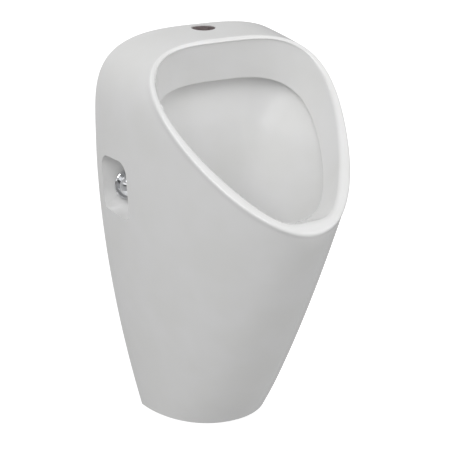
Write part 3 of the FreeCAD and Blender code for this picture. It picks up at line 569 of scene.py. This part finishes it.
mouth_edge = ring(0)
ahead = drawn(*OUT_OF_MOUTH) * BAND_DOME * (rise / BEAD_RISE)[:, None]
shoulder, inside = [bulge + (mouth_edge - bulge) * share + ahead for share in (BAND_SHOULDER, BAND_INSIDE)]
bead = rounded([start, crease, bulge, shoulder, inside, mouth_edge, ring(COLLAR_FROM)], BEAD_ROWS)

# the collar, its edge, and the groove between the edge and the bowl
collar = np.stack([ring(along) for along in np.linspace(COLLAR_FROM, COLLAR_TO, COLLAR_ROWS)])
edge = rounded(
    [ring(COLLAR_TO), ring(1), ring(1, COLLAR_EDGE_T), ring(COLLAR_TO, COLLAR_EDGE_T)],
    EDGE_ROWS,
)
groove_in = ring(1 - UNDERCUT / (COLLAR_LENGTH - MOUTH_SINK), COLLAR_EDGE_T)
groove_out = edge_behind_rim(bowl, bowl_top, COLLAR_LENGTH - UNDERCUT)[2]
groove = np.stack([edge[-1], groove_in, (groove_in + groove_out) / 2, groove_out])

front_mesh, front_work = mirrored_mesh(
    "china_front",
    [eased(g) for g in (trimmed_grid(outside, outside_top, BEAD_START, SKIN_COLUMNS), bead, collar)],
)
pocket_outline = (
    rounded_corner(POCKET_BACK_LOW, POCKET_BACK_TOP, POCKET_TOP, POCKET_TOP_R)
    + rounded_corner(POCKET_BACK_TOP, POCKET_TOP, POCKET_LOW, POCKET_TOP_R)
    + rounded_corner(POCKET_TOP, POCKET_LOW, POCKET_BACK_LOW, POCKET_LOW_R)
    + [POCKET_BACK_LOW]
)
on_wall = Vector((0, 0, -FIXING_H))
out, up, right = Vector((0, -1, 0)), Vector((0, 0, 1)), Vector((1, 0, 0))
for side in (1, -1):
    cut_out(front_work, pocket_outline, on_wall, out, up, side)
inlet_outline = [
    (INLET_HOLE_R * math.cos(a), INLET_DEPTH + INLET_HOLE_R * math.sin(a))
    for a in np.linspace(0, 2 * math.pi, HOLE_SIDES + 1)[:-1]
]
cut_out(front_work, inlet_outline, Vector((0, 0, BODY_H - FIXING_H)), right, out)
front = finished(front_work, front_mesh, "urinal", "china")

bowl_mesh, bowl_work = mirrored_mesh(
    "china_bowl",
    [edge, groove, trimmed_grid(bowl, bowl_top, COLLAR_LENGTH - UNDERCUT, BOWL_COLUMNS)],
)
china_bowl = finished(bowl_work, bowl_mesh, "urinal", "china")

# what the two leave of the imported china: back, recesses, water space, hollow and flanges
NEAR = 0.0026              # a face this near a new piece, and facing as it does, is covered by it
FACING = 0.6
shown = [BVHTree.FromObject(o, bpy.context.evaluated_depsgraph_get()) for o in (front, china_bowl)]
rest_work = bmesh.new()
rest_work.from_mesh(nodes["ceramic_body"].data)
bmesh.ops.remove_doubles(rest_work, verts=rest_work.verts, dist=WELD)


def doubled(face):
    """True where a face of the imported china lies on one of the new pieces."""
    centre = face.calc_center_median()
    for tree in shown:
        spot, normal, _, _ = tree.find_nearest(centre, NEAR)
        if spot is not None and abs(normal.dot(face.normal)) > FACING:
            return True
    return False


spare = [f for f in rest_work.faces if doubled(f)]
bmesh.ops.delete(rest_work, geom=spare, context="FACES")
rest_mesh = bpy.data.meshes.new("china_back")
back_piece = finished(rest_work, rest_mesh, "urinal", "china")
for piece in (front, china_bowl, back_piece):
    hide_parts("ceramic_body")


# ---------------------------------------------------------------- floor, light and camera
FLOOR_Z = -0.62            # the urinal hangs well above the floor
FLOOR_HALF = 30.0
FLOOR_GLOW = 0.45          # lifts the floor to the photograph's even white

floor_mesh = bpy.data.meshes.new("floor")
floor_corners = [(x * FLOOR_HALF, y * FLOOR_HALF, FLOOR_Z) for x, y in ((-1, -1), (1, -1), (1, 1), (-1, 1))]
floor_mesh.from_pydata(floor_corners, [], [(0, 1, 2, 3)])
floor = bpy.data.objects.new("floor", floor_mesh)
bpy.context.scene.collection.objects.link(floor)
pale = finish("pale studio floor", "F6F6F6", "F5F5F5", 400, 0.85, 0.95)
floor_shader = pale.node_tree.nodes["Principled BSDF"]
floor_shader.inputs["Emission Color"].default_value = WHITE
floor_shader.inputs["Emission Strength"].default_value = FLOOR_GLOW
floor_mesh.materials.append(pale)
floor.visible_diffuse = False
floor.visible_glossy = False

# Light from all round. In front, a bright band over a dim one at the horizon draws lines across the chrome.
SKY_IN_FRONT = (           # height, from 0 straight down to 1 straight up, and the strength there
    (0.00, 0.46),
    (0.40, 0.36),
    (0.48, 0.10),
    (0.545, 0.06),
    (0.58, 1.15),
    (0.65, 1.00),
    (0.71, 0.36),
    (1.00, 0.36),
)
SKY_BEHIND = 0.44
SKY_SEEN = 1               # the camera itself sees plain white
SKY_BLEND = 0.2            # front and back blend this far each side of straight across

world = bpy.data.worlds.new("studio")
bpy.context.scene.world = world
world.use_nodes = True
way = add(world, "ShaderNodeTexCoord").outputs["Generated"]
heading = add(world, "ShaderNodeSeparateXYZ", links={"Vector": way}).outputs
level = add(world, "ShaderNodeMapRange", inputs={"From Min": -1}, links={"Value": heading["Z"]})
front_sky = add(world, "ShaderNodeFloatCurve", links={"Value": level.outputs["Result"]})
front_sky.mapping.use_clip = False
curve = front_sky.mapping.curves[0].points
while len(curve) < len(SKY_IN_FRONT):
    curve.new(0.5, 0.5)
for point, spot in zip(curve, SKY_IN_FRONT):
    point.location = spot
    point.handle_type = "VECTOR"
front_sky.mapping.update()
behind = add(
    world,
    "ShaderNodeMapRange",
    inputs={"From Min": -SKY_BLEND, "From Max": SKY_BLEND},
    links={"Value": heading["Y"]},
).outputs["Result"]
light_of_sky = add(
    world,
    "ShaderNodeMix",
    inputs={"B": SKY_BEHIND},
    links={"Factor": behind, "A": front_sky.outputs["Value"]},
).outputs["Result"]
seen = add(world, "ShaderNodeLightPath").outputs["Is Camera Ray"]
strength = add(
    world,
    "ShaderNodeMix",
    inputs={"B": SKY_SEEN},
    links={"Factor": seen, "A": light_of_sky},
).outputs["Result"]
sky = world.node_tree.nodes["Background"]
sky.inputs["Color"].default_value = WHITE
world.node_tree.links.new(strength, sky.inputs["Strength"])


def looking(way):
    """Rotation that turns a lamp or a camera to look along a direction."""
    return way.to_track_quat("-Z", "Y").to_euler()


# wide soft lights from far away: name, where from, power, spread in degrees
for name, toward, power, spread in (
    ("overhead diffuser", (0.1, -0.35, 1.0), 0.12, 70),
    ("left diffuser", (-0.5, -0.5, 0.7), 1.36, 40),
    ("right diffuser", (0.7, -0.7, 0.35), 0.58, 50),
):
    sun = bpy.data.lights.new(name, "SUN")
    sun.energy = power
    sun.angle = math.radians(spread)
    lamp = bpy.data.objects.new(name, sun)
    bpy.context.scene.collection.objects.link(lamp)
    lamp.location = toward
    lamp.rotation_euler = looking(-Vector(toward))

CAMERA_AT = Vector((-0.9454, -1.8798, 0.6512))
CAMERA_AIM = Vector((0, -0.1354, -0.0611))
SENSOR_W = 36
PICTURE_PX = 452           # width of the picture, and the camera's focal length and shifts, in pixels
FOCAL_PX = 1463.4
SHIFT_X_PX = -14.16
SHIFT_Y_PX = 7.65

camera_data = bpy.data.cameras.new("camera")
camera_data.sensor_width = SENSOR_W
camera_data.lens = SENSOR_W * FOCAL_PX / PICTURE_PX
camera_data.shift_x = SHIFT_X_PX / PICTURE_PX
camera_data.shift_y = SHIFT_Y_PX / PICTURE_PX
camera = bpy.data.objects.new("camera", camera_data)
bpy.context.scene.collection.objects.link(camera)
camera.location = CAMERA_AT
camera.rotation_euler = looking(CAMERA_AIM - CAMERA_AT)
bpy.context.scene.camera = camera

bpy.context.scene.view_settings.view_transform = "Standard"
